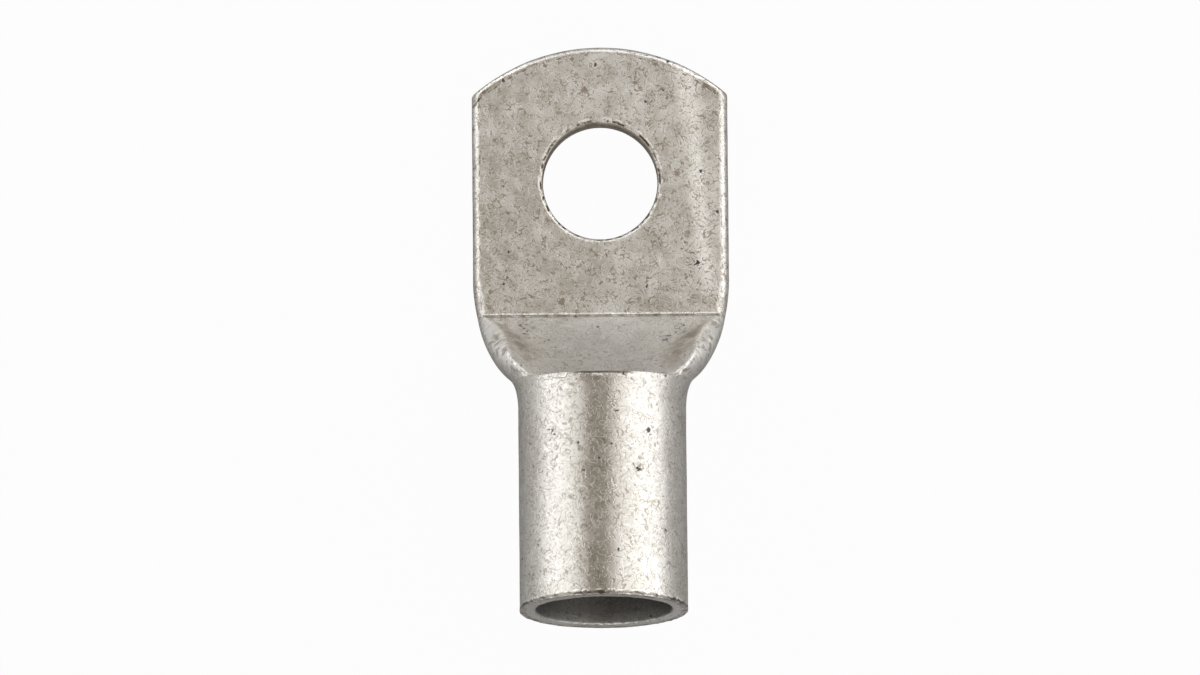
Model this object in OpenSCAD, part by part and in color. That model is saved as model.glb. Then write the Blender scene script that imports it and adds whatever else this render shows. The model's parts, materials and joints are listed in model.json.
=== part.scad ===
// Tubular cable lug: a tinned copper tube with one end left round for the
// conductor and the other pressed flat into a palm with a bolt hole.
//
// Units are millimetres. The lug lies on its back: +Z points out of the palm's
// front, +Y runs from the barrel to the palm's tip, and the origin is the
// centre of the bolt hole on the palm's seating face.

/* [Barrel] */
// Outside diameter of the tube
barrel_d = 12.4; // [9:0.1:16]
// Thickness of the tube's wall
wall = 1.2; // [0.8:0.05:1.8]
// Length of the round barrel, from the mouth to the pressed shoulder
barrel_length = 17; // [12:0.5:40]
// Angle that the sawn mouth leans off square, towards the front
mouth_skew = 3; // [0:0.5:5]
// Size of the broken inner edge at the mouth
mouth_chamfer = 0.25; // [0:0.05:0.5]

/* [Palm] */
// Width of the palm
palm_w = 19; // [17:0.1:22]
// Thickness of the palm, where both walls of the tube lie together
palm_t = 2.2; // [1.6:0.05:3]
// Length of the palm, from the bend line to the tip
palm_length = 20.2; // [18:0.1:30]
// Radius of the arc that trims the palm's tip
tip_r = 14.5; // [12:0.1:20]
// Radius of the small corners where the sides meet the tip
corner_r = 0.4; // [0.2:0.05:1]
// Radius of the folded side edges
fold_r = 0.7; // [0.3:0.05:0.8]
// Radius of the edges round the tip
tip_edge_r = 0.5; // [0.2:0.05:0.7]
// Angle that the palm leans forwards, off the barrel's axis
palm_lean = 4; // [0:0.5:6]

/* [Bolt hole] */
// Diameter of the bolt hole
hole_d = 8.5; // [4.3:0.1:10.5]
// Distance from the hole's centre to the palm's tip
hole_to_tip = 10.1; // [9:0.1:14]
// Size of the broken edge round the hole
hole_chamfer = 0.3; // [0:0.05:0.5]

/* [Pressed shoulder] */
// Length of the sloping face, from the shoulder to the bend line
slope_length = 5.8; // [5:0.1:10]
// Depth of the step below the barrel's crown where the sloping face starts
shoulder_step = 3.9; // [2:0.1:5]
// Width of the sloping face at the shoulder
slope_w_barrel = 9.2; // [8:0.1:11]
// Width of the sloping face halfway down
slope_w_middle = 10.8; // [9:0.1:14]
// Width of the sloping face at the bend line
slope_w_palm = 17.4; // [14:0.1:17.6]
// Angle of the banks on both sides of the sloping face
bank_angle = 25; // [20:1:45]
// How far ahead of the shoulder the crown starts to sink
crown_lead = 0.3; // [0.1:0.1:1]
// How far ahead of the shoulder the sides start to flare
neck_lead = 1.9; // [0.5:0.1:3]
// Reach across of the hollow curve where the sides leave the barrel
neck_r = 1; // [0.5:0.05:3]
// Reach across of the full curve where the sides run into the palm
flare_r = 3.8; // [3:0.1:8]
// How many times longer than round both of those curves are drawn
flare_stretch = 2.5; // [1:0.1:3]

/* [Seam] */
// Height of the fine gap that shows between the two walls at the cut edges
seam_gap = 0.08; // [0.05:0.01:0.15]
// Depth of that gap, in from the cut edge
seam_depth = 0.2; // [0.1:0.05:0.5]

/* [Hidden] */
$fn = 96;

barrel_r = barrel_d / 2;
bore_r = barrel_r - wall;
hole_r = hole_d / 2;

// Stations along the tube, measured from the centre of the mouth.
shoulder_y = barrel_length;
bend_y = shoulder_y + slope_length;
neck_y = shoulder_y - neck_lead;
flare_h = palm_w / 2 - barrel_r;
flare_angle = acos(1 - flare_h / (neck_r + flare_r));
palm_side_y = neck_y + flare_stretch * (neck_r + flare_r) * sin(flare_angle);

// The crown starts to sink just ahead of the shoulder, and is down to the
// palm's thickness as far past the bend line.
crown_start_y = shoulder_y - crown_lead;
crown_end_y = bend_y + crown_lead;

// Centre of the tip's arc, measured from the bend line along the palm.
tip_centre_y = palm_length - tip_r;

// Where the bolt hole's centre lies on the seating face.
hole_along = palm_length - hole_to_tip;
hole_y = bend_y + hole_along * cos(palm_lean);
hole_z = hole_along * sin(palm_lean);

// Small overlaps that let joined solids share some volume.
lap = 0.2;
inset = 0.02;
// Reach of the cutting tools past what they cut.
clear = 2;
loft_steps = 30;
corner_steps = 16;

// ---- Outline and sections of the pressed tube ----

function ease(t) = (1 - cos(180 * min(1, max(0, t)))) / 2;

// Half of the outside width: two long curves that meet at the same slant.
function half_width(y) =
    let (
        turn_y = neck_y + flare_stretch * neck_r * sin(flare_angle),
        from_neck = (y - neck_y) / flare_stretch,
        from_palm = (palm_side_y - y) / flare_stretch
    )
    y <= neck_y ? barrel_r
    : y < turn_y ? barrel_r + neck_r - sqrt(pow(neck_r, 2) - pow(from_neck, 2))
    : y < palm_side_y ? palm_w / 2 - flare_r + sqrt(pow(flare_r, 2) - pow(from_palm, 2))
    : palm_w / 2;

// Height of the seating side, which rises with the palm past the bend line.
function floor_z(y) = max(0, y - bend_y) * tan(palm_lean);

// Outside thickness of the squeezed tube, before the sloping face is pressed in.
function thickness(y) =
    barrel_d + (palm_t / cos(palm_lean) - barrel_d)
    * ease((y - crown_start_y) / (crown_end_y - crown_start_y));

// Share of the half thickness that is rounded: all of it on the barrel.
function roundness(y) =
    1 + (fold_r / (palm_t / 2) - 1) * ease((y - neck_y) / (palm_side_y - neck_y));

// One closed section, as four corner arcs, at a given depth under the skin.
function section(y, depth) =
    let (
        half_t = max(thickness(y) / 2 - depth, inset),
        half_w = half_width(y) - depth,
        r = max(min(half_w, thickness(y) / 2 * roundness(y) - depth, half_t), inset / 2),
        centre_z = floor_z(y) + thickness(y) / 2
    )
    [for (corner = [0:3])
        for (i = [0:corner_steps - 1])
            let (
                a = 90 * (corner + (i + 0.5) / corner_steps),
                side_x = (corner == 0 || corner == 3) ? 1 : -1,
                side_z = corner < 2 ? 1 : -1
            )
            [
                side_x * (half_w - r) + r * cos(a),
                y,
                centre_z + side_z * (half_t - r) + r * sin(a)
            ]];

// Skins the sections between two stations into one closed solid.
module loft(from_y, to_y, depth) {
    ring = 4 * corner_steps;
    rings = [for (i = [0:loft_steps])
        section(from_y + (to_y - from_y) * i / loft_steps, depth)];
    points = [for (s = rings) each s];
    sides = [for (i = [0:loft_steps - 1])
        for (j = [0:ring - 1])
            let (k = (j + 1) % ring)
            each [
                [i * ring + j, i * ring + k, (i + 1) * ring + j],
                [i * ring + k, (i + 1) * ring + k, (i + 1) * ring + j]
            ]];
    start_cap = [[for (j = [ring - 1:-1:0]) j]];
    end_cap = [[for (j = [0:ring - 1]) loft_steps * ring + j]];
    polyhedron(points, concat(start_cap, sides, end_cap));
}

// ---- The press tool ----

// The tool's nose: a sloping flat that widens downhill, a bank on each side of
// it, and a square back against the barrel. A depth lowers it under the skin,
// square to the slope.
module press_nose(depth) {
    start_z = barrel_d - shoulder_step;
    fall = (start_z - palm_t) / slope_length;
    drop = depth * sqrt(1 + pow(fall, 2));
    rise = barrel_d;
    spread = rise / tan(bank_angle);
    // One row of points across the nose, at a distance down the slope.
    function row(run, w) = let (z = start_z - drop - fall * run)
        [for (p = [[-w - spread, rise], [-w, 0], [w, 0], [w + spread, rise]])
            [p[0], shoulder_y + run, z + p[1]]];
    points = concat(
        row(-depth, slope_w_barrel / 2),
        row(slope_length / 2, slope_w_middle / 2),
        row(slope_length, slope_w_palm / 2)
    );
    strips = [for (r = [0, 4]) for (i = [0:3])
        let (k = (i + 1) % 4)
        [r + i, r + i + 4, r + k + 4, r + k]];
    polyhedron(points, concat([[3, 2, 1, 0], [8, 9, 10, 11]], strips));
}

// ---- The pressed tube ----

// Moves what is drawn on a flat palm, from its bend line at y = 0, to its place.
module on_palm() {
    translate([0, bend_y, 0]) rotate([palm_lean, 0, 0]) children();
}

// The shoulder, from the round barrel to a station on the palm, at a depth under
// the skin.
module shoulder(depth, to_y) {
    difference() {
        loft(neck_y - lap, to_y, depth + inset);
        press_nose(depth);
    }
}

module barrel() {
    translate([0, -clear, barrel_r]) rotate([-90, 0, 0])
        cylinder(r = barrel_r, h = neck_y + clear);
}

module rounded_bar(w, t, r) {
    translate([0, t / 2]) union() {
        square([w - 2 * r, t], center = true);
        square([w, t - 2 * r], center = true);
        for (x = [-1, 1], z = [-1, 1])
            translate([x * (w / 2 - r), z * (t / 2 - r)]) circle(r = r);
    }
}

module palm() {
    start = (palm_side_y - bend_y) / cos(palm_lean);
    on_palm() intersection() {
        translate([0, start + palm_length, 0]) rotate([90, 0, 0])
            linear_extrude(palm_length) rounded_bar(palm_w, palm_t, fold_r);
        translate([0, tip_centre_y, 0]) rotate_extrude() intersection() {
            rounded_bar(2 * tip_r, palm_t, tip_edge_r);
            square([tip_r, palm_t]);
        }
    }
}

// Rounds the two small corners where the sides meet the tip.
module corner_tool() {
    x = palm_w / 2 - corner_r;
    y = sqrt(pow(tip_r - corner_r, 2) - pow(x, 2));
    reach = 4 * corner_r;
    for (side = [-1, 1])
        translate([side * x, tip_centre_y + y, -clear])
            linear_extrude(palm_t + 2 * clear) difference() {
                polygon([
                    [0, 0], [side * reach, 0], [side * reach, reach * y / x],
                    [side * reach * x / y, reach], reach * [side * x, y] / (tip_r - corner_r)
                ]);
                circle(r = corner_r);
            }
}

// A 45 degree cone, to break the edge of a round hole whose face is at z = 0.
module edge_cone(r, size) {
    translate([0, 0, -clear])
        cylinder(r1 = r + size - clear, r2 = r + size + clear, h = 2 * clear);
}

// The bolt hole, with a broken edge at both faces.
module hole_tool() {
    on_palm() translate([0, hole_along, 0]) {
        translate([0, 0, -clear]) cylinder(r = hole_r, h = palm_t + 2 * clear);
        translate([0, 0, palm_t]) edge_cone(hole_r, hole_chamfer);
        mirror([0, 0, 1]) edge_cone(hole_r, hole_chamfer);
    }
}

// The seam between the two walls, along the cut edge of the tip.
module seam_tool() {
    on_palm() translate([0, tip_centre_y, palm_t / 2 - seam_gap / 2]) intersection() {
        difference() {
            cylinder(r = tip_r + clear, h = seam_gap);
            translate([0, 0, -clear]) cylinder(r = tip_r - seam_depth, h = seam_gap + 2 * clear);
        }
        translate([-(palm_w - palm_t) / 2, 0, -clear])
            cube([palm_w - palm_t, tip_r + clear, seam_gap + 2 * clear]);
    }
}

// Saws off the mouth and breaks its inner edge.
module mouth_tool() {
    translate([0, 0, barrel_r]) rotate([90 + mouth_skew, 0, 0]) {
        translate([-barrel_d, -barrel_d, 0]) cube([2 * barrel_d, 2 * barrel_d, 2 * clear]);
        edge_cone(bore_r, mouth_chamfer);
    }
}

// The round bore, and what is left of it inside the pressed shoulder.
module cavity() {
    translate([0, -2 * clear, barrel_r]) rotate([-90, 0, 0])
        cylinder(r = bore_r, h = neck_y + 2 * clear + lap / 2);
    shoulder(wall, bend_y);
}

module cable_lug() {
    color([0.72, 0.70, 0.66])
        translate([0, -hole_y, -hole_z])
            difference() {
                union() {
                    barrel();
                    shoulder(0, palm_side_y + lap);
                    palm();
                }
                cavity();
                mouth_tool();
                on_palm() corner_tool();
                hole_tool();
                seam_tool();
            }
}

cable_lug();
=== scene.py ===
import bmesh
import bpy
import json
import math
import numpy as np
from mathutils import Matrix, Vector, noise


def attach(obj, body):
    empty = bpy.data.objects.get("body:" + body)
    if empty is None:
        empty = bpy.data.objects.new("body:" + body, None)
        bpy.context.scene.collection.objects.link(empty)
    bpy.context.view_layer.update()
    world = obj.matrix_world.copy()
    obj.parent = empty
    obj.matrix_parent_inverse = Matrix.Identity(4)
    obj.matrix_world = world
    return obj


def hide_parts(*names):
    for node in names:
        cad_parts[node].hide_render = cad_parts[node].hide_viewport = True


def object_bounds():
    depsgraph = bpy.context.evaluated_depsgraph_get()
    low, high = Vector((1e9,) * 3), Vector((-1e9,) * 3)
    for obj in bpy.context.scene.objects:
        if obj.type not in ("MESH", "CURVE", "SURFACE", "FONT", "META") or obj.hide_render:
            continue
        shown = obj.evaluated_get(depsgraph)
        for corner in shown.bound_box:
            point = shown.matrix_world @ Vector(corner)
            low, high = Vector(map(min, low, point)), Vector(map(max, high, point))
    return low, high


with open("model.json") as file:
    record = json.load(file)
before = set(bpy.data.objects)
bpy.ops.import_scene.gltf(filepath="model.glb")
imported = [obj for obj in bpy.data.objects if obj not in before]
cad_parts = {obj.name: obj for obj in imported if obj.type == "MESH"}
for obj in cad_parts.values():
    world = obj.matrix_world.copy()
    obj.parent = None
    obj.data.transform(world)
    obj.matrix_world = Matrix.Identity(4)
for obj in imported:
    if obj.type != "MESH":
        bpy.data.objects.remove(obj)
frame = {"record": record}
cad_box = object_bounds()

# ---- The lug ----
# A length of copper tube, pressed flat at one end by a die that leaves a sloping
# shoulder, then punched for its bolt, trimmed round at the tip, sawn at the mouth
# and tinned all over. It is one piece, and a bolt through its palm holds it.

# Sizes are in millimetres from the mouth's centre, along the barrel's underside.
# The finished mesh is placed in metres from the bolt hole, as the frame has it.
MM = 0.001
mounts = {mount["name"]: mount for mount in frame["record"]["mounts"]}
bolt_hole = mounts["bolt_hole"]
hole_r = bolt_hole["dims"]["r_mm"]
bore_r = mounts["wire_barrel"]["dims"]["r_mm"]
lean = math.atan2(-bolt_hole["axis"][1], bolt_hole["axis"][2])

wall = 1.2
barrel_r = bore_r + wall
barrel_length = 17.0
mouth_skew = math.radians(3)

palm_w = 19.0
palm_t = 2.2
palm_length = 20.2
tip_r = 14.5
corner_r = 0.4
fold_r = 0.7
tip_edge_r = 0.5
hole_to_tip = 10.1

slope_length = 5.8
shoulder_step = 3.9
slope_w_barrel = 9.2
slope_w_middle = 10.4
slope_w_palm = 17.4
slope_hollow = 0.35
bank_slope = math.tan(math.radians(44))
bank_fillet = 0.9
fillet_fade = 0.8
crown_lead = 0.3
crown_trail = 0.9
neck_lead = 1.9
neck_r = 1.0
flare_r = 3.8
flare_stretch = 2.5

bend_y = barrel_length + slope_length
neck_y = barrel_length - neck_lead
flare_angle = math.acos(1 - (palm_w / 2 - barrel_r) / (neck_r + flare_r))
flare_turn_y = neck_y + flare_stretch * neck_r * math.sin(flare_angle)
palm_side_y = neck_y + flare_stretch * (neck_r + flare_r) * math.sin(flare_angle)
crown_start_y = barrel_length - crown_lead
crown_end_y = bend_y + crown_trail
tip_centre = palm_length - tip_r
hole_along = palm_length - hole_to_tip
hole_place = Vector((0, bend_y + hole_along * math.cos(lean), hole_along * math.sin(lean)))


def held(t):
    """Keeps a share between 0 and 1."""
    return np.clip(t, 0, 1)


def ease(t):
    """A smooth rise from 0 to 1."""
    return (1 - math.cos(math.pi * held(t))) / 2


def half_width(y):
    """The barrel's radius, which flares past the neck to half the palm's width."""
    if y <= neck_y:
        return barrel_r
    if y < flare_turn_y:
        return barrel_r + neck_r - math.sqrt(neck_r ** 2 - ((y - neck_y) / flare_stretch) ** 2)
    if y < palm_side_y:
        return palm_w / 2 - flare_r + math.sqrt(flare_r ** 2 - ((palm_side_y - y) / flare_stretch) ** 2)
    return palm_w / 2


def tube_thickness(y):
    """The tube's height, which sinks from the whole barrel to the flat palm."""
    sunk = ease((y - crown_start_y) / (crown_end_y - crown_start_y))
    return 2 * barrel_r + (palm_t / math.cos(lean) - 2 * barrel_r) * sunk


thinnest = 0.02
shoulder_fullness = 0.45
quarter_points = 41
tight_turn_share = 2.0


def tube_section(y, depth, count):
    """The squeezed tube's closed section at a station, as x and height, at a depth under its skin.
    Its points are evenly spread, with more of them where it turns tightly."""
    thick = tube_thickness(y)
    half_t = max(thick / 2 - depth, thinnest)
    half_w = half_width(y) - depth
    turned = held((y - neck_y) / (palm_side_y - neck_y))
    folded = 1 + (fold_r / (palm_t / 2) - 1) * ease(turned)
    roundness = folded + shoulder_fullness * math.sin(math.pi * turned) ** 2
    r = max(min(half_w, thick / 2 * roundness - depth, half_t), thinnest / 2)
    xs, zs = [np.array([half_w])], [np.array([0.0])]
    for quarter, side_x in enumerate((1, -1, -1, 1)):
        angle = np.linspace(0, math.pi / 2, quarter_points) + quarter * math.pi / 2
        xs.append(side_x * (half_w - r) + r * np.cos(angle))
        zs.append(half_t * np.sin(angle))
    xs, zs = np.concatenate(xs + xs[:1]), np.concatenate(zs + zs[:1])
    length = np.hypot(np.diff(xs), np.diff(zs))
    turning = np.zeros(len(length))
    for quarter in range(4):
        turning[1 + quarter * quarter_points:(quarter + 1) * quarter_points] = 1
    weight = length * (1 + turning * tight_turn_share * max(0.0, 1 - r / barrel_r))
    round_it = np.concatenate(([0.0], np.cumsum(weight)))
    at = (np.arange(count) + 0.5) / count * round_it[-1]
    lift = max(0.0, y - bend_y) * math.tan(lean) + thick / 2
    return np.interp(at, round_it, xs), np.interp(at, round_it, zs) + lift


def soft_min(a, b, blend):
    """The lower of two heights, rounded over where they cross."""
    gap = held(0.5 + 0.5 * (b - a) / blend)
    return b + (a - b) * gap - blend * gap * (1 - gap)


def pressed_bank(x, y):
    """How far a point lies outside the die's sloping flat, which widens downhill."""
    down = (y - barrel_length) / slope_length
    near_barrel = slope_w_barrel * (1 - down) * (1 - 2 * down)
    near_middle = 4 * slope_w_middle * down * (1 - down)
    near_palm = slope_w_palm * down * (2 * down - 1)
    return np.abs(x) - (near_barrel + near_middle + near_palm) / 2


def pressed_height(x, y):
    """The die's underside above a point: its sloping flat, a little hollow, and a bank on each side."""
    down = (y - barrel_length) / slope_length
    flat_z = 2 * barrel_r - shoulder_step + (palm_t - 2 * barrel_r + shoulder_step) * down
    past = pressed_bank(x, y)
    hollow = slope_hollow * math.sin(math.pi * held(down)) ** 2
    dish = hollow * held(1 - (x / (np.abs(x) - past)) ** 2)
    fillet = bank_fillet * (1 - fillet_fade * down)
    return flat_z - dish + bank_slope * (past + np.sqrt(past ** 2 + fillet ** 2)) / 2


def tip_outline(x):
    """How far the palm reaches at each x: the trimmed arc, with a small corner on each side."""
    corner_x = palm_w / 2 - corner_r
    corner_y = math.sqrt((tip_r - corner_r) ** 2 - corner_x ** 2)
    turn_x = corner_x * tip_r / (tip_r - corner_r)
    arc = np.sqrt(tip_r ** 2 - np.minimum(np.abs(x), turn_x) ** 2)
    round_off = corner_y + np.sqrt(np.maximum(corner_r ** 2 - (np.abs(x) - corner_x) ** 2, 0))
    return tip_centre + np.where(np.abs(x) <= turn_x, arc, np.minimum(arc, round_off))


fall_x, fall_x_less = 8.0, 1.5
fall_w, fall_w_more = 1.1, 1.5
fall_depth, fall_depth_more = 0.13, 0.12


def palm_fall(x, share):
    """The shallow step down towards each folded side, wider and deeper near the tip."""
    past = np.abs(x) - (fall_x - fall_x_less * share)
    t = held(past / (fall_w + fall_w_more * share) + 0.5)
    return (fall_depth + fall_depth_more * share) * t * t * (3 - 2 * t)


def palm_point(along, up, leaning=1.0):
    """Turns a distance along the palm and a height above its seat into y and z."""
    y = bend_y + along * math.cos(lean) - up * math.sin(lean) * leaning
    return y, along * math.sin(lean) + up * math.cos(lean)


ring_points = 256
rings = []


def add_ring(x, y, z):
    rings.append(np.column_stack((x, np.broadcast_to(y, x.shape), z)))


# The round barrel, whose first rings lean with the sawn mouth.
mouth_length = 1.2
neck_end_y = barrel_length - 0.12
mouth_rings, barrel_rings, neck_rings = 14, 36, 10
mouth_stations = np.linspace(0, mouth_length, mouth_rings)
barrel_stations = np.linspace(mouth_length, neck_y, barrel_rings)[1:]
neck_stations = np.linspace(neck_y, neck_end_y, neck_rings)[1:]
for y in np.concatenate((mouth_stations, barrel_stations, neck_stations)):
    x, z = tube_section(y, 0, ring_points)
    leaning = (z - barrel_r) * math.tan(mouth_skew) * max(0.0, 1 - y / neck_y)
    add_ring(x, y + leaning, z)

# The step down from the barrel's crown to the sloping face, almost upright.
step_rings = 16
step_top_y = barrel_length - 0.1
step_w = 0.16
step_blend = 0.1
step_curve = 1.5
step_least_z = barrel_r * 0.5
unpressed = 99
for share in np.linspace(0, 1, step_rings):
    y = step_top_y + step_w * math.sin(share * math.pi / 2)
    x, z_above = tube_section(y, 0, ring_points)
    die_z = pressed_height(x, max(y, barrel_length))
    z_below = soft_min(z_above, np.where(z_above > step_least_z, die_z, unpressed), step_blend)
    add_ring(x, y, z_above + (z_below - z_above) * share ** step_curve)

# The sloping face, down to the bend line. Its banks are marked for the material:
# the valley at their foot, which gets painted shade, and the ridge along their top,
# which gets painted highlights, a rougher finish and a mottled relief.
slope_rings = 48
slope_start_y, slope_end_y = barrel_length + 0.1, bend_y - 0.3
close_to_bend = (0.2, 0.12, 0.06, 0.02)
valley_past, valley_w = 0.7, 0.8
ridge_rise, ridge_fade = 0.4, 0.7
ridge_least_z, ridge_z_fade = 1.05, 2.5
ridge_start, ridge_reach = 0.15, 0.8
bank_blend, bank_blend_less = 0.8, 0.7
valleys, ridges = {}, {}
slope_stations = np.linspace(slope_start_y, slope_end_y, slope_rings)
for y in np.concatenate((slope_stations, bend_y - np.array(close_to_bend))):
    x, z = tube_section(y, 0, ring_points)
    middle = tube_thickness(y) / 2
    down = (y - barrel_length) / slope_length
    die_z = np.where(z > middle, pressed_height(x, y), unpressed)
    valley = np.exp(-((pressed_bank(x, y) - valley_past) / valley_w) ** 2) * (die_z < z)
    valleys[len(rings)] = valley * math.sin(math.pi * min(1, down))
    ridge = held((die_z - z + ridge_rise) / ridge_fade)
    ridge = ridge * held((z / middle - ridge_least_z) * ridge_z_fade)
    ridges[len(rings)] = ridge * math.sqrt(math.sin(math.pi * min(1, ridge_start + down * ridge_reach)))
    add_ring(x, y, soft_min(z, die_z, bank_blend - bank_blend_less * down))

# The palm, in rings that bow out step by step to the trimmed tip. The die has
# raised a low, uneven burr along the bend.
half_t = palm_t / 2
palm_rings = 78
first_steps = (0.0, 0.001, 0.0025, 0.0045, 0.007, 0.010)
even_steps_start = 0.014
fall_rise, lean_rise = 4, 6
burr_h, burr_place, burr_w = 0.12, 0.0035, 0.1
burr_least, burr_more, burr_grain = 0.65, 0.6, 2.3
for share in np.concatenate((first_steps, np.linspace(even_steps_start, 1, palm_rings))):
    y_flat = min(bend_y + share * palm_length, palm_side_y)
    x, z = tube_section(y_flat, 0, ring_points)
    z = np.minimum(z - max(0.0, y_flat - bend_y) * math.tan(lean), palm_t)
    z = half_t + (z - half_t) * (1 - palm_fall(x, share) / half_t * ease(share * fall_rise))
    burr = burr_h * math.exp(-((share - burr_place) / burr_place) ** 2)
    for j in np.flatnonzero(z > palm_t - burr_w):
        z[j] += burr * (burr_least + burr_more * noise.noise(Vector((x[j] * burr_grain, 4, 7))))
    add_ring(x, *palm_point((tip_outline(x) - tip_edge_r) * share, z, ease(share * lean_rise)))

# The rounded edge round the tip.
tip_edge_rings = 9
edge_x, edge_z = tube_section(palm_side_y, 0, ring_points)
edge_z = edge_z - (palm_side_y - bend_y) * math.tan(lean) - half_t
edge_z = edge_z * (1 - palm_fall(edge_x, 1.0) / half_t)
for turn in np.linspace(0, math.pi / 2, tip_edge_rings)[1:]:
    reach = tip_outline(edge_x) - tip_edge_r * (1 - math.sin(turn))
    squeezed = edge_z * (half_t - tip_edge_r * (1 - math.cos(turn))) / half_t
    add_ring(edge_x, *palm_point(reach, half_t + squeezed))

points = np.concatenate(rings)
faces = []


def band(first, second, count, inside):
    """The faces between two rings, each given by the number of its first point. They face out of
    the rings, or into them for the wall of a hole."""
    quads = []
    for j in range(count):
        k = (j + 1) % count
        quad = (first + j, second + j, second + k, first + k)
        quads.append((quad[0], quad[3], quad[2], quad[1]) if inside else quad)
    return quads


for ring in range(len(rings) - 1):
    faces += band(ring * ring_points, (ring + 1) * ring_points, ring_points, False)

# The palm's flat end, with the seam between the tube's two walls. Each row of it
# has its height as a share of the half end, that share's limit, and its depth.
seam_w = 0.08
seam_depth = 0.16
seam_fade = 0.6
seam_rows = [(0.6, palm_t, 0.0), (0.5, seam_w, 0.0), (0.25, seam_w, seam_depth)]
seam_rows += [(-share, limit, depth) for share, limit, depth in reversed(seam_rows)]
half = ring_points // 2
last = (len(rings) - 1) * ring_points
rows = [[last + j for j in range(half)]]
seam_points = []
for share, limit, depth in seam_rows:
    rows.append([len(points) + len(seam_points) + j for j in range(half)])
    for x, z in zip(edge_x[:half], edge_z[:half]):
        top = abs(z * (half_t - tip_edge_r) / half_t)
        sunk = depth * held(((palm_w - palm_t) / 2 - abs(x)) / seam_fade)
        up = half_t + share * min(top, limit)
        seam_points.append((x, *palm_point(tip_outline(x) - sunk, up)))
rows.append([last + ring_points - 1 - j for j in range(half)])
for upper, lower in zip(rows, rows[1:]):
    for j in range(half - 1):
        faces.append((upper[j + 1], upper[j], lower[j], lower[j + 1]))
faces.append(tuple(row[0] for row in rows))
faces.append(tuple(row[-1] for row in reversed(rows)))

# The bore, with its deburred mouth, and the taper that is left of it inside.
bore_points = 96
bore_rings_straight, bore_rings_narrow = 24, 18
deburred = ((0.0, 0.22), (0.06, 0.13), (0.16, 0.04), (0.3, 0.0))
bore_end_y = bend_y - 0.9
roof_blend = 0.2
slope_angle = math.atan2(2 * barrel_r - shoulder_step - palm_t, slope_length)
bore_rings = []


def bore_ring(y, radius, leaning):
    """A round ring of the bore, which leans with the sawn mouth."""
    angle = (np.arange(bore_points) + 0.5) / bore_points * 2 * math.pi
    x, z = radius * np.cos(angle), radius * np.sin(angle)
    return np.column_stack((x, y + z * math.tan(mouth_skew) * leaning, z + barrel_r))


for y, widen in deburred:
    bore_rings.append(bore_ring(y, bore_r + widen, 1))
for y in np.linspace(deburred[-1][0], neck_y, bore_rings_straight)[1:]:
    bore_rings.append(bore_ring(y, bore_r, 1 - y / neck_y))
for y in np.linspace(neck_y, bore_end_y, bore_rings_narrow)[1:]:
    x, z = tube_section(y, wall, bore_points)
    roof = pressed_height(x, max(y, barrel_length)) - wall / math.cos(slope_angle)
    z = soft_min(z, np.where(y > barrel_length - wall, roof, unpressed), roof_blend)
    bore_rings.append(np.column_stack((x, np.full_like(x, y), np.maximum(z, wall))))

bore_start = len(points) + len(seam_points)
for ring in range(len(bore_rings) - 1):
    first = bore_start + ring * bore_points
    faces += band(first, first + bore_points, bore_points, True)
bore_end = bore_start + (len(bore_rings) - 1) * bore_points
faces.append(tuple(bore_end + j for j in range(bore_points)))
vertices = np.concatenate([points, np.array(seam_points)] + bore_rings)

# The sawn mouth closes the skin, between the barrel's and the bore's first rings.
mesh = bpy.data.meshes.new("cable_lug_skin")
mesh.from_pydata(vertices.tolist(), [], faces)
form = bmesh.new()
form.from_mesh(mesh)
form.verts.ensure_lookup_table()
rims = []
for start, count in ((0, ring_points), (bore_start, bore_points)):
    for j in range(count):
        ends = (form.verts[start + j], form.verts[start + (j + 1) % count])
        rims.append(form.edges.get(ends))
bmesh.ops.bridge_loops(form, edges=rims)
bmesh.ops.recalc_face_normals(form, faces=form.faces)
form.to_mesh(mesh)
form.free()

in_valley, in_ridge, in_bore = np.zeros((3, len(vertices)), dtype=np.float32)
for marked, marks in ((in_valley, valleys), (in_ridge, ridges)):
    for ring, row in marks.items():
        marked[ring * ring_points:(ring + 1) * ring_points] = row
in_bore[bore_start + bore_points * 2:] = 1
for name, marked in (("valley", in_valley), ("ridge", in_ridge), ("in_bore", in_bore)):
    mesh.attributes.new(name, "FLOAT", "POINT").data.foreach_set("value", marked)
lug = bpy.data.objects.new("cable_lug_skin", mesh)
bpy.context.collection.objects.link(lug)

# The punch. It leaves a slightly ragged rim on both faces, and the seam shows in
# the hole's wall. Each level has its height and how much wider than the hole it is.
punch_points = 180
rim = [(0.34, 0.0), (0.22, 0.03), (0.1, 0.1), (0.02, 0.22), (-0.02, 0.3), (-1.0, 1.6)]
seam = [(-0.05, 0.0), (-0.03, 0.05), (0.03, 0.05), (0.05, 0.0)]
levels = rim[::-1] + [(half_t + height, widen) for height, widen in seam]
levels += [(palm_t - height, widen) for height, widen in rim]
widest_ragged = 0.3
fine_grain, fine_share = 14, 0.12
broad_grain, broad_share = 5, 0.06
punch_corners = []
for height, widen in levels:
    for j in range(punch_points):
        angle = 2 * math.pi * j / punch_points
        x, y = math.cos(angle), math.sin(angle)
        fine = noise.noise(Vector((x, y, height * 0.3)) * fine_grain) * fine_share
        broad = noise.noise(Vector((x, y, 3)) * broad_grain) * broad_share
        ragged = (fine + broad) * widen if 0 < widen <= widest_ragged else 0
        radius = hole_r + widen + ragged
        corner = Vector((radius * x, radius * y, height))
        punch_corners.append(Matrix.Rotation(lean, 3, "X") @ corner + hole_place)
punch_faces = []
for level in range(len(levels) - 1):
    punch_faces += band(level * punch_points, (level + 1) * punch_points, punch_points, True)
last = (len(levels) - 1) * punch_points
punch_faces.append(tuple(range(punch_points - 1, -1, -1)))
punch_faces.append(tuple(range(last, last + punch_points)))
punch_mesh = bpy.data.meshes.new("punch")
punch_mesh.from_pydata(punch_corners, [], punch_faces)
punch = bpy.data.objects.new("punch", punch_mesh)
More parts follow.
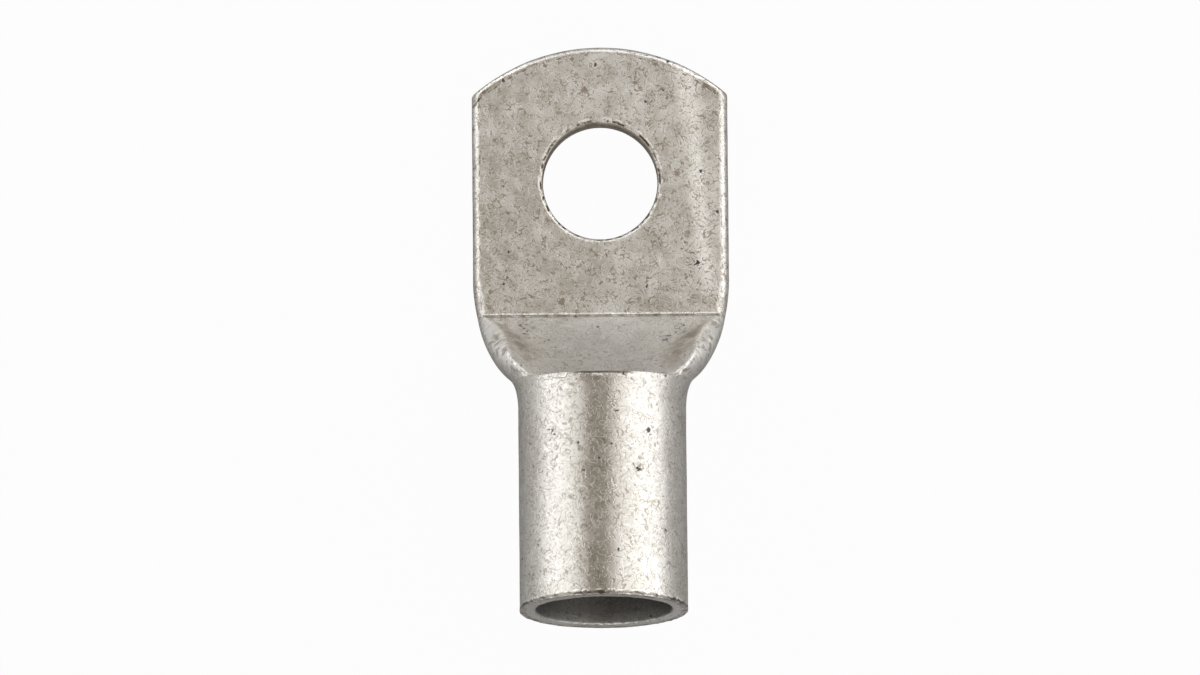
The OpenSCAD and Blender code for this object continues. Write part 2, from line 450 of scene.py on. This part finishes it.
bpy.context.collection.objects.link(punch)
punched = lug.modifiers.new("punched", "BOOLEAN")
punched.operation = "DIFFERENCE"
punched.solver = "EXACT"
punched.object = punch
lug_seen = lug.evaluated_get(bpy.context.evaluated_depsgraph_get())
punched_mesh = bpy.data.meshes.new_from_object(lug_seen)
lug.modifiers.clear()
lug.data = punched_mesh
bpy.data.objects.remove(punch)

# Handling has left the faces very slightly uneven, and the saw has left the
# mouth a little ragged. The underside stays on the floor.
merge_distance = 0.0005
broad_grain, broad_h = 0.35, 0.016
fine_grain, fine_h = 1.3, 0.006
mouth_w = 0.5
mouth_grain, mouth_h = 3.1, 0.05
mouth_fine_grain, mouth_fine_h = 7, 0.03
underside = cad_box[0][2] / MM + hole_place.z
form = bmesh.new()
form.from_mesh(lug.data)
bmesh.ops.remove_doubles(form, verts=form.verts, dist=merge_distance)
form.normal_update()
moves = []
for vertex in form.verts:
    at = vertex.co
    swell = noise.noise(at * broad_grain) * broad_h
    swell += noise.noise(at * fine_grain + Vector((9, 2, 4))) * fine_h
    ragged = noise.noise(at * mouth_grain) * mouth_h + noise.noise(at * mouth_fine_grain) * mouth_fine_h
    near_mouth = max(0.0, 1 - abs(at.y) / mouth_w)
    moves.append(vertex.normal * (swell + near_mouth * ragged))
for vertex, move in zip(form.verts, moves):
    vertex.co += move
    vertex.co.z = max(vertex.co.z, underside)
form.to_mesh(lug.data)
form.free()
lug.data.transform(Matrix.Scale(MM, 4) @ Matrix.Translation(-hole_place))
for polygon in lug.data.polygons:
    polygon.use_smooth = True
sharp_edge = math.radians(40)
lug.data.set_sharp_from_angle(angle=sharp_edge)
lug.data.update()


class Wire:
    """A shader socket that takes part in sums."""
    tree = None

    def __init__(self, socket):
        self.socket = socket

    @classmethod
    def node(cls, kind, settings=None, out=0, **inputs):
        """Adds a node. An input goes by its name, with _ for a space, or by _ and its number."""
        node = cls.tree.nodes.new(kind)
        for name, value in (settings or {}).items():
            if name != "stops":
                setattr(node, name, value)
                continue
            for element, (place, colour) in zip(node.color_ramp.elements, value):
                element.position = place
                element.color = (*colour, 1)
        for name, value in inputs.items():
            socket = node.inputs[int(name[1:]) if name[0] == "_" else name.replace("_", " ")]
            if isinstance(value, Wire):
                cls.tree.links.new(value.socket, socket)
            else:
                socket.default_value = value
        return Wire(node.outputs[out]) if len(node.outputs) else None

    def other(self, name):
        """Another output of the same node."""
        return Wire(self.socket.node.outputs[name])

    def maths(self, operation, *others):
        values = {f"_{i}": value for i, value in enumerate((self, *others))}
        return Wire.node("ShaderNodeMath", {"operation": operation}, **values)

    def __add__(self, value):
        return self.maths("ADD", value)

    def __sub__(self, value):
        return self.maths("SUBTRACT", value)

    def __mul__(self, value):
        return self.maths("MULTIPLY", value)

    def __rsub__(self, value):
        return Wire.node("ShaderNodeMath", {"operation": "SUBTRACT"}, _0=value, _1=self)

    __radd__ = __add__
    __rmul__ = __mul__


def fresh_tree(owner):
    """Empties the node tree of a material or a world, and makes it the one that nodes go into."""
    owner.use_nodes = True
    owner.node_tree.nodes.clear()
    Wire.tree = owner.node_tree


def span(value, low, high, to_low=0.0, to_high=1.0):
    """Maps a value smoothly from one range to another, and holds it there."""
    return Wire.node("ShaderNodeMapRange", {"interpolation_type": "SMOOTHSTEP"}, Value=value,
                     From_Min=low, From_Max=high, To_Min=to_low, To_Max=to_high)


# Where the parts of the lug lie once it is in place, in millimetres.
bend_at = bend_y - hole_place.y
crease_at = barrel_length - hole_place.y
mouth_at = -hole_place.y
bore_z = barrel_r - hole_place.z
palm_top = palm_t - hole_place.z

# The larger worn spots: x, y, radius and depth.
worn_spots = [(2.6, -23.1, 0.45, 1.0), (-3.7, -20.4, 0.6, 0.6), (-1.3, -23.2, 0.35, 0.8),
              (1.4, -16.1, 0.5, 0.7), (-6.8, -7.1, 0.8, 0.35), (7.0, -6.0, 1.0, 0.4),
              (4.75, -12.2, 0.5, 1.0), (-4.0, -12.0, 0.8, 0.5), (-3.4, -27.0, 0.3, 0.6),
              (4.6, -27.5, 0.3, 0.7), (-5.5, -11.2, 0.9, 0.5), (5.8, -11.4, 0.8, 0.5)]


def tinned_copper():
    """Dull tin over copper: warm grey, covered in short curly marks, specks and small pits."""
    material = bpy.data.materials.new("tinned_copper")
    fresh_tree(material)
    place = Wire.node("ShaderNodeTexCoord", out="Object")
    mm = Wire.node("ShaderNodeVectorMath", {"operation": "SCALE"}, _0=place, Scale=1 / MM)
    across = Wire.node("ShaderNodeSeparateXYZ", out="X", Vector=mm)
    along = across.other("Y")
    up = across.other("Z")

    cloud_roughness = 0.55
    curl_twist = 1.4
    gate_w = 0.16

    def cloud(shift, scale, detail=2.0, twist=0.0):
        """A soft cloud of values round a half. A shift of its own keeps it apart from the others."""
        where = Wire.node("ShaderNodeVectorMath", {"operation": "ADD"}, _0=mm, _1=shift)
        return Wire.node("ShaderNodeTexNoise", Vector=where, Scale=scale, Detail=detail,
                         Roughness=cloud_roughness, Distortion=twist)

    def curls(shift, scale, width, gate_shift, gate_scale, gate_low):
        """Thin curly lines, where a cloud passes through its middle value, broken up by another."""
        middle = (cloud(shift, scale, 0.0, curl_twist) - 0.5).maths("ABSOLUTE")
        gate = span(cloud(gate_shift, gate_scale, 1.0), gate_low, gate_low + gate_w)
        return span(middle, 0.0, width, 1.0, 0.0) * gate

    def line(offset, core, rim):
        """A line where an offset is nought: full as far as its core, and gone at its rim."""
        return span(offset.maths("ABSOLUTE"), core, rim, 1.0, 0.0)

    def from_axis(x, y):
        """The distance from an axis, from the two offsets across it."""
        flat = Wire.node("ShaderNodeCombineXYZ", X=x, Y=y)
        return Wire.node("ShaderNodeVectorMath", {"operation": "LENGTH"}, out="Value", _0=flat)

    # How far a point lies from the sawn, punched, trimmed and pressed edges.
    past_hole = from_axis(across, along) - hole_r
    past_bore = from_axis(across, up - bore_z) - bore_r
    past_crease = along - crease_at
    past_bend = along - bend_at
    into_tip = tip_r - from_axis(across, along - (tip_centre - hole_along))
    into_side = palm_w / 2 - across.maths("ABSOLUTE")
    into_mouth = along - mouth_at - (up - bore_z) * math.tan(mouth_skew)

    # The faces that differ in finish or in painted shade. The bore is rougher and painted
    # dark as painted shade, the hole's wall is painted darker, and the slope is painted
    # greyer and darker as painted shade.
    on_palm = span(past_bend, 0.0, 0.3)
    on_slope = span(past_crease, 0.0, 0.4) * span(past_bend, 0.05, -0.1)
    on_crown = span(up, bore_z + 5.7, bore_z + 6.05)
    pressed = span(past_crease, 0.0, 0.5) * 0.3 + span(past_bend, -0.2, 0.2)
    cut_face = span(into_mouth, 0.05, 0.01)
    hole_wall = span(past_hole, 0.12, 0.02)
    worn_edge = span(into_side, 0.65, 0.4).maths("MAXIMUM", span(into_tip, 0.75, 0.5)) * on_palm
    bore = Wire.node("ShaderNodeAttribute", {"attribute_name": "in_bore"}, out="Fac")
    valley = Wire.node("ShaderNodeAttribute", {"attribute_name": "valley"}, out="Fac")
    ridge = Wire.node("ShaderNodeAttribute", {"attribute_name": "ridge"}, out="Fac")

    # Broad changes of tone, and short curly marks of three kinds.
    patches = cloud((0, 0, 0), 0.16, 3.0)
    blotches = cloud((31, 7, 13), 0.7, 3.0, 0.5)
    mottle = cloud((9, 27, 5), 1.5, 2.0, 0.8)
    grain = cloud((2, 8, 1), 5.0, 3.0, 0.8)
    dark_curls = curls((0, 0, 0), 1.35, 0.052, (5, 3, 9), 1.5, 0.30)
    fine_curls = curls((3, 11, 5), 1.75, 0.060, (15, 23, 2), 1.8, 0.30)
    bright_curls = curls((12, 1, 7), 1.55, 0.060, (1, 13, 21), 1.4, 0.32)

    # Round pits, each a little under a fifth of a millimetre across.
    stir = Wire.node("ShaderNodeTexNoise", out="Color", Vector=mm, Scale=3.0, Detail=1.0)
    pit_place = Wire.node("ShaderNodeVectorMath", {"operation": "MULTIPLY_ADD"},
                          _0=stir, _1=(0.35, 0.35, 0.35), _2=mm)
    from_pit = Wire.node("ShaderNodeTexVoronoi", {"feature": "F1"}, out="Distance", Vector=pit_place,
                         Scale=0.75, Randomness=1.0)
    pick = Wire.node("ShaderNodeSeparateColor", out="Red", Color=from_pit.other("Color"))
    pit_r = pick.other("Green") * 0.05 + 0.045
    pits = span(from_pit, pit_r, pit_r + 0.06, 1.0, 0.0) * span(pick, 0.58, 0.60)

    # The worn spots, each a cluster of deeper pits.
    flat_place = Wire.node("ShaderNodeCombineXYZ", X=across, Y=along)
    worn = 0.0
    for spot_x, spot_y, spot_r, depth in worn_spots:
        away = Wire.node("ShaderNodeVectorMath", {"operation": "DISTANCE"}, out="Value",
                         _0=flat_place, _1=(spot_x, spot_y, 0.0))
        worn = span(away, spot_r * 0.2, spot_r * 1.3, depth, 0.0).maths("MAXIMUM", worn)
    worn = worn * span(up, 0.0, 0.5)
    crumbs = cloud((40, 2, 6), 3.2, 2.0, 1.2)
    clusters = span(crumbs + worn * 0.2, 0.64, 0.74) * span(worn, 0.05, 0.3)

    # Brown residue in lines that wander along the edges, and dark lines of painted
    # shade along the crease and the bend.
    wander = (cloud((8, 8, 30), 2.2) - 0.5) * 0.35
    broken = span(cloud((3, 17, 11), 1.7), 0.46, 0.58)
    tip_line = line(into_tip - 0.72 + wander, 0.02, 0.10) * span(along, 0.0, 1.0)
    side_line = line(into_side - 0.55 + wander, 0.02, 0.09) * on_palm
    hole_line = line(past_hole - 0.17 + wander * 0.3, 0.04, 0.11)
    mouth_line = line(into_mouth - 0.13 + wander * 0.8, 0.07, 0.18) * span(past_bore, 0.6, 0.9)
    # A dark line of painted shadow on the crown, at the edge of the step down to the slope.
    crease_shade_line = line(past_crease + 0.12 - wander * 0.3, 0.08, 0.22) * on_crown
    # A dark line of painted shade where the slope meets the palm at the bend.
    bend_shade_line = line(past_bend + 0.09 + wander * 0.15, 0.03, 0.09) * span(up, palm_top - 0.6, palm_top - 0.2)
    # Brown residue from the edge lines, together with the painted shade of the crease and bend lines.
    residue = (tip_line * 0.9 + side_line * 0.5 + hole_line * 1.2) * broken
    residue = residue + mouth_line * span(broken, 0.0, 1.0, 0.7, 1.1) + crease_shade_line * 0.9 + bend_shade_line * 0.35

    # Bright chips beside them.
    chipped = span(cloud((23, 1, 19), 2.3), 0.46, 0.56)
    hole_chips = line(past_hole - 0.33 + wander * 0.4, 0.02, 0.10)
    mouth_chips = line(into_mouth - 0.28 + wander * 0.8, 0.04, 0.12) * span(up, bore_z - 2, bore_z + 1)
    lip_chips = line(past_bore - 0.14 + wander * 0.2, 0.06, 0.14) * span(into_mouth, 0.4, 0.2)
    lip_chips = lip_chips * span(up, bore_z - 2, bore_z - 4)
    crease_chips = line(past_crease + 0.36 - wander, 0.05, 0.16) * span(up, bore_z + 3.5, bore_z + 5)
    chips = (hole_chips + mouth_chips + lip_chips + crease_chips) * chipped

    # The tin, from pale to dark, and what lies over it, from the lowest layer up.
    shade = (patches * 0.4 + blotches * 0.6 - 0.5) * (on_palm * 1.1 + 0.7) + 0.5
    tin_tones = [(0.3, (0.70, 0.675, 0.62)), (0.7, (0.91, 0.90, 0.87))]
    colour = Wire.node("ShaderNodeValToRGB", {"stops": tin_tones}, Fac=shade)
    # The valleys at the foot of the banks are painted dark brown as painted shade, broken up by this cloud.
    valley_shade_breakup = span(cloud((6, 19, 3), 0.9, 3.0, 0.8), 0.25, 0.6)
    layers = {
        "dark curls": (dark_curls * (on_palm * 0.2 + 0.68), (0.30, 0.24, 0.18)),
        "fine curls": (fine_curls * (on_palm * 0.2 + 0.5), (0.36, 0.30, 0.24)),
        "bright curls": (bright_curls * 0.8, (0.97, 0.95, 0.92)),
        "pits": (pits * 0.9, (0.06, 0.05, 0.04)),
        "worn spots": (worn * 0.22, (0.25, 0.20, 0.15)),
        "clusters of pits": (clusters * 0.92, (0.04, 0.035, 0.03)),
        # Painted shade in the valleys at the foot of the banks.
        "dirt in the valleys": (valley * valley_shade_breakup * 0.85, (0.22, 0.17, 0.12)),
        # Painted highlights on the ridges along the tops of the banks.
        "bright spots on the ridges": (ridge * span(mottle, 0.42, 0.54) * 0.9, (0.98, 0.97, 0.94)),
        "dark spots on the ridges": (ridge * span(mottle, 0.45, 0.35) * 0.5, (0.36, 0.31, 0.25)),
        # Painted shade that makes the pressed slope greyer and darker.
        "pressed slope": (on_slope * (1 - ridge) * 0.22, (0.45, 0.45, 0.46)),
        "sawn face": (cut_face * 0.35, (0.95, 0.93, 0.90)),
        # Brown residue along the edges, and painted shade along the crease and the bend.
        "residue": (residue * 0.85, (0.11, 0.085, 0.06)),
        "chips": (chips * 0.8, (0.98, 0.97, 0.94)),
        # Painted shade inside the bore.
        "dull bore": (bore * 0.8, (0.10, 0.095, 0.085)),
        # The hole's wall, painted darker.
        "dull wall of the hole": (hole_wall * 0.65, (0.20, 0.16, 0.115)),
    }
    for amount, over in layers.values():
        colour = Wire.node("ShaderNodeMix", {"data_type": "RGBA", "clamp_factor": True}, out=2,
                           _0=amount, _6=colour, _7=(*over, 1))

    roughness = span(blotches, 0.3, 0.7, 0.28, 0.33) + pressed * 0.13 + ridge * 0.14 + bore * 0.25
    roughness = roughness + dark_curls * 0.10 - bright_curls * 0.05 + pits * 0.3 + clusters * 0.3
    roughness = roughness - worn_edge * 0.16
    height = grain * 0.3 + blotches * 0.05 + bright_curls * 0.6 - dark_curls * 0.75 - fine_curls * 0.5
    height = height - pits * 1.5 - clusters * 1.5 - residue * 2.2 + chips * 3.2 + ridge * mottle * 11.0
    relief = Wire.node("ShaderNodeBump", Strength=0.26, Distance=0.04 * MM, Height=height)
    shader = Wire.node("ShaderNodeBsdfPrincipled", Base_Color=colour, Metallic=1.0,
                       Roughness=roughness, Specular_Tint=(0.85, 0.85, 0.86, 1), Normal=relief)
    Wire.node("ShaderNodeOutputMaterial", Surface=shader)
    return material


lug.data.materials.clear()
lug.data.materials.append(tinned_copper())
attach(lug, "root")
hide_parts("cable_lug")

# ---- The floor ----
# A sheet of matt white paper that the lug lies on. It looks white wherever
# nothing shades it, and keeps the lug's faint shadow.
half_floor = 1.5
floor_z = cad_box[0][2]
corners = [(-1, -1), (1, -1), (1, 1), (-1, 1)]
floor_mesh = bpy.data.meshes.new("floor")
floor_mesh.from_pydata([(half_floor * x, half_floor * y, floor_z) for x, y in corners], [], [(0, 1, 2, 3)])
floor = bpy.data.objects.new("floor", floor_mesh)
bpy.context.collection.objects.link(floor)
paper = bpy.data.materials.new("white_paper")
fresh_tree(paper)
matt = Wire.node("ShaderNodeBsdfDiffuse", Color=(0.5, 0.5, 0.5, 1), Roughness=1.0)
white = Wire.node("ShaderNodeEmission", Color=(1, 1, 1, 1), Strength=1.0)
seen = Wire.node("ShaderNodeLightPath", out="Is Camera Ray")
mirrored = seen.other("Is Glossy Ray")
through = seen.other("Is Transmission Ray")
whiteness = seen * 0.97 + mirrored * 0.06 + through * 0.06
paper_shader = Wire.node("ShaderNodeMixShader", _0=whiteness, _1=matt, _2=white)
Wire.node("ShaderNodeOutputMaterial", Surface=paper_shader)
floor_mesh.materials.append(paper)

# ---- The light ----
# Six soft boxes over the lug: one on each side, one at the back, one in front and
# one at each back corner. Round them is a dim room with a warm, darker ceiling.
middle_x, middle_y = ((low + high) / 2 for low, high in zip(cad_box[0][:2], cad_box[1][:2]))
lit_place = Vector((middle_x, middle_y, floor_z))


def soft_box(name, side, back, distance, width, length, brightness):
    """A soft box that faces the lug, so many degrees from overhead to the side and to the back."""
    data = bpy.data.lights.new(name, "AREA")
    data.shape = "RECTANGLE"
    data.size, data.size_y = width, length
    data.energy = brightness * math.pi * width * length
    light = bpy.data.objects.new(name, data)
    side, back = math.radians(side), math.radians(back)
    away = Vector((math.sin(side), math.sin(back), math.cos(side) * math.cos(back)))
    light.location = lit_place + distance * away
    light.rotation_euler = away.to_track_quat("Z", "Y").to_euler()
    bpy.context.collection.objects.link(light)


soft_box("right_box", side=55, back=0, distance=0.7, width=1.0, length=1.2, brightness=0.96)
soft_box("left_box", side=-65.5, back=0, distance=0.7, width=0.4, length=1.2, brightness=1.0)
soft_box("back_box", side=0, back=56, distance=0.75, width=1.5, length=0.65, brightness=0.82)
soft_box("front_box", side=0, back=-58, distance=0.75, width=1.0, length=0.6, brightness=0.8)
soft_box("left_corner_box", side=-62, back=50, distance=0.8, width=0.7, length=0.7, brightness=1.4)
soft_box("right_corner_box", side=62, back=50, distance=0.8, width=0.7, length=0.7, brightness=1.4)

room = bpy.data.worlds.new("room")
fresh_tree(room)
heading = Wire.node("ShaderNodeTexCoord", out="Generated")
rise = Wire.node("ShaderNodeSeparateXYZ", out="Z", Vector=heading)
room_tones = [(0.3, (0.36, 0.36, 0.36)), (0.9, (0.15, 0.118, 0.080))]
room_colour = Wire.node("ShaderNodeValToRGB", {"stops": room_tones}, Fac=rise)
room_light = Wire.node("ShaderNodeBackground", Color=room_colour, Strength=1.0)
Wire.node("ShaderNodeOutputWorld", Surface=room_light)
bpy.context.scene.world = room

# ---- The camera ----
# A long lens that looks down on the lug, a little from the mouth's side, on a
# stand that isn't quite level.
tilt = math.radians(9.8)
roll = math.radians(0.5)
distance = 1.2
frame_width = 0.08885
sensor_width = 36.0
aim = Vector((-0.000115, -0.0120, 0.003))
camera_data = bpy.data.cameras.new("camera")
camera_data.sensor_width = sensor_width
camera_data.lens = sensor_width * distance / frame_width
camera_data.clip_start = 0.05
camera = bpy.data.objects.new("camera", camera_data)
away = Vector((0, -math.sin(tilt), math.cos(tilt)))
camera.location = aim + away * distance
upright = away.to_track_quat("Z", "Y").to_matrix()
camera.rotation_euler = (upright @ Matrix.Rotation(-roll, 3, "Z")).to_euler()
bpy.context.collection.objects.link(camera)
bpy.context.scene.camera = camera
bpy.context.scene.view_settings.view_transform = "Standard"
